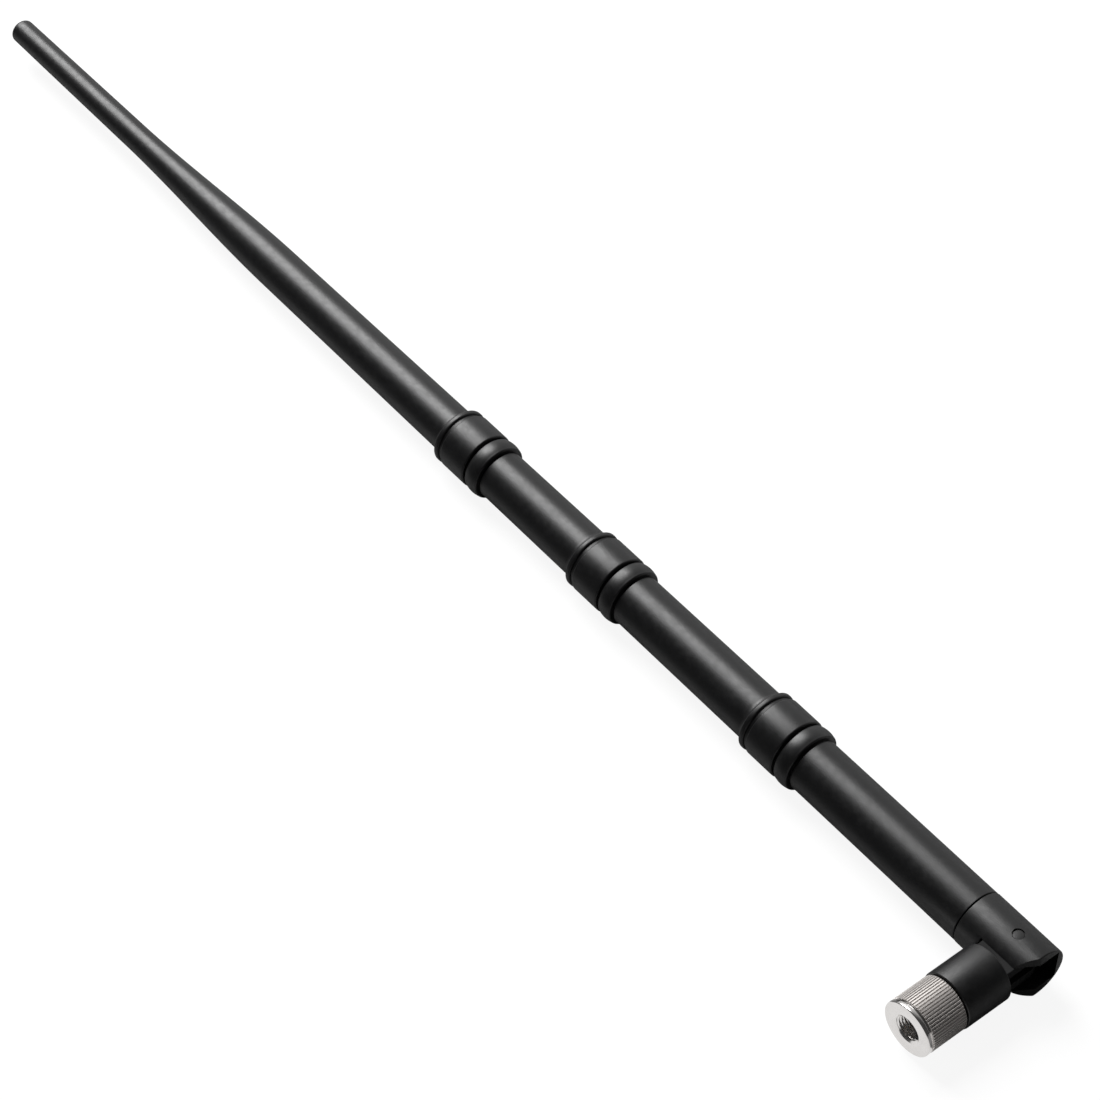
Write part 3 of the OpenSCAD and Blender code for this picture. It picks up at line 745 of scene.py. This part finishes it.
@dataclass
class FeedCable:
    """The cable from the plug's core, up the stub, round the hinge and up the mast."""

    radius: float = 0.9
    start: float = -20.3
    end: float = -53.1
    bend_start: tuple[float, float] = (0.0, -5.0)
    bend_end: tuple[float, float] = (-5.0, 0.0)
    handle: float = 2.9
    sides: int = 20
    rings: int = 120
    low_rings: int = 30
    high_rings: int = 40

    def route(self) -> np.ndarray:
        """Points of the line that the cable follows, in the plane of the stub and the mast.

        Two straights are joined by a bend: a cubic curve whose handles lie on the straights.
        """
        low = np.linspace((0, self.start), self.bend_start, self.low_rings)[:-1]
        high = np.linspace(self.bend_end, (self.end, 0), self.high_rings)[1:]
        t = np.linspace(0, 1, self.rings - len(low) - len(high))[:, None]
        p0, p3 = np.array(self.bend_start), np.array(self.bend_end)
        p1, p2 = p0 + (0, self.handle), p3 + (self.handle, 0)
        bend = (1 - t) ** 3 * p0 + 3 * (1 - t) ** 2 * t * p1 + 3 * (1 - t) * t ** 2 * p2 + t ** 3 * p3
        return np.concatenate([low, bend, high])

    def build(self) -> None:
        """Sweep a round section along the route and close its ends."""
        route = self.route()
        ahead = np.gradient(route, axis=0)
        ahead /= np.linalg.norm(ahead, axis=1)[:, None]
        side = np.stack([ahead[:, 1], -ahead[:, 0]], -1)
        angles = np.linspace(0, 2 * np.pi, self.sides, endpoint=False)
        section = self.radius * np.cos(angles)[None, :, None] * side[:, None, :] + route[:, None, :]
        height = np.broadcast_to(self.radius * np.sin(angles), section.shape[:2])
        rings = np.concatenate([section, height[..., None]], -1)
        caps = [np.concatenate([np.broadcast_to(p, (1, self.sides, 2)),
                                np.zeros((1, self.sides, 1))], -1) for p in (route[0], route[-1])]
        points = Line.HINGE.place(np.concatenate([caps[0], rings, caps[1]]))
        cable = make_piece("feed_cable_jacket", points, grid_faces(len(points), self.sides, False),
                           Slot.CABLE_JACKET, "", ("feed_cable",))
        tuple(Line.HINGE.place(np.array([*self.bend_start, 0.0])))
        tuple(Line.HINGE.place(np.array([*self.bend_end, 0.0])))
        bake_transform(cable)


@dataclass
class Knuckle:
    """The yoke and the elbow stub: copies of their CAD skins with the moulded edges broken.

    A tool maker leaves a small round on every edge, and it draws a fine light line along the cut.
    """

    edge_mm: float = 0.14
    edge_from_deg: float = 38.0
    flat_deg: float = 0.4
    pieces: tuple[tuple[str, str, str], ...] = (
        ("knuckle_yoke", "hinged_yoke", "mast"), ("elbow_stub", "swivel_stub", "stub"))

    def skin(self, node: str, name: str) -> bpy.types.Mesh:
        """Copy the node's loose triangles into a new mesh, welded and with its flats made whole."""
        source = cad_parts[node].data
        points = np.empty(len(source.vertices) * 3)
        corners = np.empty(len(source.loops), int)
        source.vertices.foreach_get("co", points)
        source.loops.foreach_get("vertex_index", corners)
        mesh = bpy.data.meshes.new(name)
        mesh.from_pydata(points.reshape(-1, 3).tolist(), [], corners.reshape(-1, 3).tolist())
        merge(mesh, self.flat_deg)
        mesh.polygons.foreach_set("use_smooth", np.ones(len(mesh.polygons), bool))
        mesh.set_sharp_from_angle(angle=math.radians(self.edge_from_deg))
        return mesh

    def build(self) -> None:
        """Make both skins, and round every edge that is sharper than the limit."""
        for (node, name, body), slot in zip(self.pieces, (Slot.KNUCKLE_PLASTIC, Slot.STUB_PLASTIC)):
            piece = bpy.data.objects.new(name, self.skin(node, name))
            bpy.context.scene.collection.objects.link(piece)
            bevel = piece.modifiers.new("broken edges", "BEVEL")
            bevel.width, bevel.segments = self.edge_mm * MM, 2
            bevel.limit_method, bevel.angle_limit = "ANGLE", math.radians(self.edge_from_deg)
            bevel.harden_normals = True
            dress(piece, slot)
            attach(piece, body)
            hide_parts(node)
            LOG.info("%s: %d faces, %s, on %s", name, len(piece.data.polygons), slot.label, body)


@dataclass
class Pins:
    """The two hinge pins, each a shaft with a domed head set back in the round recess of its ear."""

    shaft_r: float = 1.1
    head_r: float = 1.25
    foot: float = 1.6
    head_from: float = 6.0
    head_at: float = 6.2
    dome: float = 0.08
    round_r: float = 0.1
    columns: int = 64

    def build(self) -> None:
        """Turn the pin: its dome rises by the height times one less the square of the share out."""
        angles = np.linspace(0, 2 * np.pi, self.columns, endpoint=False)
        share = np.linspace(1, 0, 9)[:, None]
        dome = np.hstack([(self.head_r - self.round_r) * share,
                          self.head_at + self.dome * (1 - share ** 2)])
        profile = outline([0, self.foot], [self.shaft_r, self.foot], [self.shaft_r, self.head_from],
                          [self.head_r, self.head_from],
                          arc(self.head_r - self.round_r, self.head_at - self.round_r, self.round_r,
                              0, 80, 4), dome)
        for name, way in (("hinge_pin_top", 1), ("hinge_pin_bottom", -1)):
            make_piece(name.replace("hinge_pin", "pin"), turned(profile * (1, way), angles, Line.HINGE),
                       grid_faces(len(profile), self.columns, False), Slot.PIN_PLASTIC, "mast", (name,))


@dataclass
class CadNodes:
    """The CAD nodes whose shape is right as it is, each with the finish of its slot."""

    slots: dict[str, Slot] = field(default_factory=lambda: {
        "plug_body": Slot.GOLD_PLATE, "crimp_ferrule": Slot.GOLD_PLATE,
        "nut_clip": Slot.SPRING_BRONZE, "stub_clip": Slot.SPRING_BRONZE,
        "ground_sleeve": Slot.BRASS_TUBE, "ground_bead": Slot.WHITE_INSULATOR,
        "radiator_wire": Slot.COPPER_WIRE, "spacer_lower": Slot.FOAM_SPACER,
        "spacer_middle": Slot.FOAM_SPACER, "spacer_upper": Slot.FOAM_SPACER,
        "spacer_whip": Slot.FOAM_SPACER})

    def build(self) -> None:
        """Dress each node."""
        for name, slot in self.slots.items():
            dress(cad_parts[name], slot)
            LOG.info("%s: CAD node, %s", name, slot.label)


@dataclass
class Studio:
    """Camera, floor, lamps and world.

    The camera was found by fitting the part's own sizes to the photographed outline. Its focal length
    is in pixels of the square picture, and its offset is that of the hinge in the camera's own axes.
    """

    azimuth: float = 49.4862
    elevation: float = 48.7292
    roll: float = -1.7505
    focal_px: float = 3635.3
    offset: tuple[float, float, float] = (93.0606, 80.6107, 727.6699)
    sensor: float = 36.0
    floor_size: float = 30.0
    floor_colour: str = "#666666"
    floor_glow: float = 0.9
    floor_drop: float = 0.0004
    key_from: tuple[float, float, float] = (-1.12, 0.13, 1.12)
    key_size: tuple[float, float] = (1.1, 0.95)
    key_power: float = 35.0
    key_to: tuple[float, float, float] = (-0.15, 0.02, 0.0)
    wall: tuple[float, float, float] = (-0.55, 0.83, 0.0)
    wall_share: tuple[float, float] = (0.2, 0.75)
    wall_light: float = 0.68
    room_light: float = 0.056
    ambient: float = 0.16
    cards: tuple[tuple[str, tuple[float, ...]], ...] = (
        ("#949494", (-6.0, 0.004, 3.0, 0.25)), ("#505050", (-6.0, -3.0, -0.03, 0.004)))

    def camera(self) -> None:
        """Place the camera: its three axes are the rows of a turn, and the hinge lies at the offset."""
        a, e, r = (math.radians(v) for v in (self.azimuth, self.elevation, self.roll))
        ahead = Vector((-math.sin(a) * math.cos(e), math.cos(a) * math.cos(e), -math.sin(e)))
        level = ahead.cross(Vector((0, 0, 1))).normalized()
        under = ahead.cross(level)
        right = math.cos(r) * level + math.sin(r) * under
        down = math.cos(r) * under - math.sin(r) * level
        hinge = Vector((0, PIVOT_Y, 0))
        eye = hinge - sum((axis * shift for axis, shift in zip((right, down, ahead), self.offset)),
                          Vector())
        turn = Matrix((right, -down, -ahead)).transposed().to_4x4()
        data = bpy.data.cameras.new("camera")
        data.sensor_width = self.sensor
        data.lens = self.focal_px / IMAGE_PX * self.sensor
        data.clip_start, data.clip_end = 0.02, 60.0
        camera = bpy.data.objects.new("camera", data)
        camera.matrix_world = Matrix.Translation(eye * MM) @ turn
        bpy.context.scene.collection.objects.link(camera)
        bpy.context.scene.camera = camera

    def plane(self, name: str, corners: list, material: bpy.types.Material) -> bpy.types.Object:
        """Make a flat stage piece from its corners."""
        mesh = bpy.data.meshes.new(name)
        mesh.from_pydata(corners, [], [tuple(range(len(corners)))])
        mesh.materials.append(material)
        stage = bpy.data.objects.new(name, mesh)
        bpy.context.scene.collection.objects.link(stage)
        return stage

    def seen(self, tree: bpy.types.NodeTree) -> bpy.types.NodeSocket:
        """Return 1 for rays that show the background: from the camera, a gloss or a clear body."""
        path = add_node(tree, "LightPath")
        gloss = add_node(tree, "Math", {"operation": "MAXIMUM"}, {
            0: path.outputs["Is Camera Ray"], 1: path.outputs["Is Glossy Ray"]})
        clear = add_node(tree, "Math", {"operation": "MAXIMUM"}, {
            0: gloss.outputs[0], 1: path.outputs["Is Transmission Ray"]})
        return clear.outputs[0]

    def floor(self) -> None:
        """Lay a pale floor under the antenna, lifted to white for the camera but open to shadow."""
        material = bpy.data.materials.new("pale paper sweep")
        material.use_nodes = True
        tree = material.node_tree
        tree.nodes.clear()
        paper = add_node(tree, "BsdfDiffuse", {"Color": linear(self.floor_colour)})
        lift = add_node(tree, "Math", {"operation": "MULTIPLY", 1: self.floor_glow}, {0: self.seen(tree)})
        glow = add_node(tree, "Emission", links={"Strength": lift.outputs[0]})
        both = add_node(tree, "AddShader", links={0: paper.outputs[0], 1: glow.outputs[0]})
        add_node(tree, "OutputMaterial", links={"Surface": both.outputs[0]})
        z, s = CAD_BOX[0][2] - self.floor_drop, self.floor_size / 2
        self.plane("floor", [(-s, -s, z), (s, -s, z), (s, s, z), (-s, s, z)], material)

    def lay_cards(self) -> None:
        """Lay grey cards round the set, which only glosses see, so black plastic stays deep black.

        They leave the paper free in front of the nut, whose face shows it.
        """
        for number, (colour, (x0, y0, x1, y1)) in enumerate(self.cards):
            material = bpy.data.materials.new(f"grey card {number}")
            material.use_nodes = True
            tree = material.node_tree
            tree.nodes.clear()
            grey = add_node(tree, "BsdfDiffuse", {"Color": linear(colour)})
            add_node(tree, "OutputMaterial", links={"Surface": grey.outputs[0]})
            z = CAD_BOX[0][2] - self.floor_drop / 2
            card = self.plane(f"card_{number}", [(x0, y0, z), (x1, y0, z), (x1, y1, z), (x0, y1, z)],
                              material)
            card.visible_camera = card.visible_diffuse = card.visible_shadow = False

    def lamp(self) -> None:
        """Hang one wide soft lamp over the mast, beyond it as the camera sees it."""
        data = bpy.data.lights.new("soft box", "AREA")
        data.shape = "RECTANGLE"
        data.size, data.size_y = self.key_size
        data.energy = self.key_power
        lamp = bpy.data.objects.new("soft box", data)
        back = (Vector(self.key_from) - Vector(self.key_to)).normalized()
        side = Vector((0, 1, 0)).cross(back).normalized()
        lamp.matrix_world = Matrix.Translation(Vector(self.key_from)) @ (
            Matrix((side, back.cross(side), back)).transposed().to_4x4())
        bpy.context.scene.collection.objects.link(lamp)

    def world(self) -> None:
        """Make the room: white to the eye, and for glosses a white wall beyond the set in a dim room.

        The share of a direction along the wall's own tells how much of the wall it sees.
        """
        world = bpy.data.worlds.new("studio")
        world.use_nodes = True
        tree = world.node_tree
        tree.nodes.clear()
        heading = add_node(tree, "VectorMath", {"operation": "DOT_PRODUCT", 1: self.wall},
                           {0: add_node(tree, "TexCoord").outputs["Generated"]})
        wall = add_node(tree, "MapRange", {
            "interpolation_type": "SMOOTHSTEP", "From Min": self.wall_share[0],
            "From Max": self.wall_share[1], "To Min": self.room_light, "To Max": self.wall_light},
            {"Value": heading.outputs["Value"]})
        path = add_node(tree, "LightPath")
        strength = add_node(tree, "Mix", {2: self.ambient}, {
            "Factor": self.seen(tree), 3: wall.outputs["Result"]})
        white = add_node(tree, "Math", {"operation": "MAXIMUM"}, {
            0: strength.outputs[0], 1: path.outputs["Is Camera Ray"]})
        shade = add_node(tree, "Background", {"Color": linear("#ffffff")}, {"Strength": white.outputs[0]})
        add_node(tree, "OutputWorld", links={"Surface": shade.outputs[0]})
        bpy.context.scene.world = world

    def build(self) -> None:
        """Set the whole stage."""
        self.camera()
        self.floor()
        self.lay_cards()
        self.lamp()
        self.world()
        bpy.context.scene.view_settings.view_transform = "Standard"


def main() -> None:
    """Build the stage and then the antenna, from the tip of the mast to the plug."""
    logging.basicConfig(level=logging.INFO, format="%(message)s")
    Studio().build()
    CadNodes().build()
    Mast().build()
    Knuckle().build()
    Pins().build()
    CouplingNut().build()
    Plug().build()
    FeedCable().build()


if __name__ == "__main__":
    main()
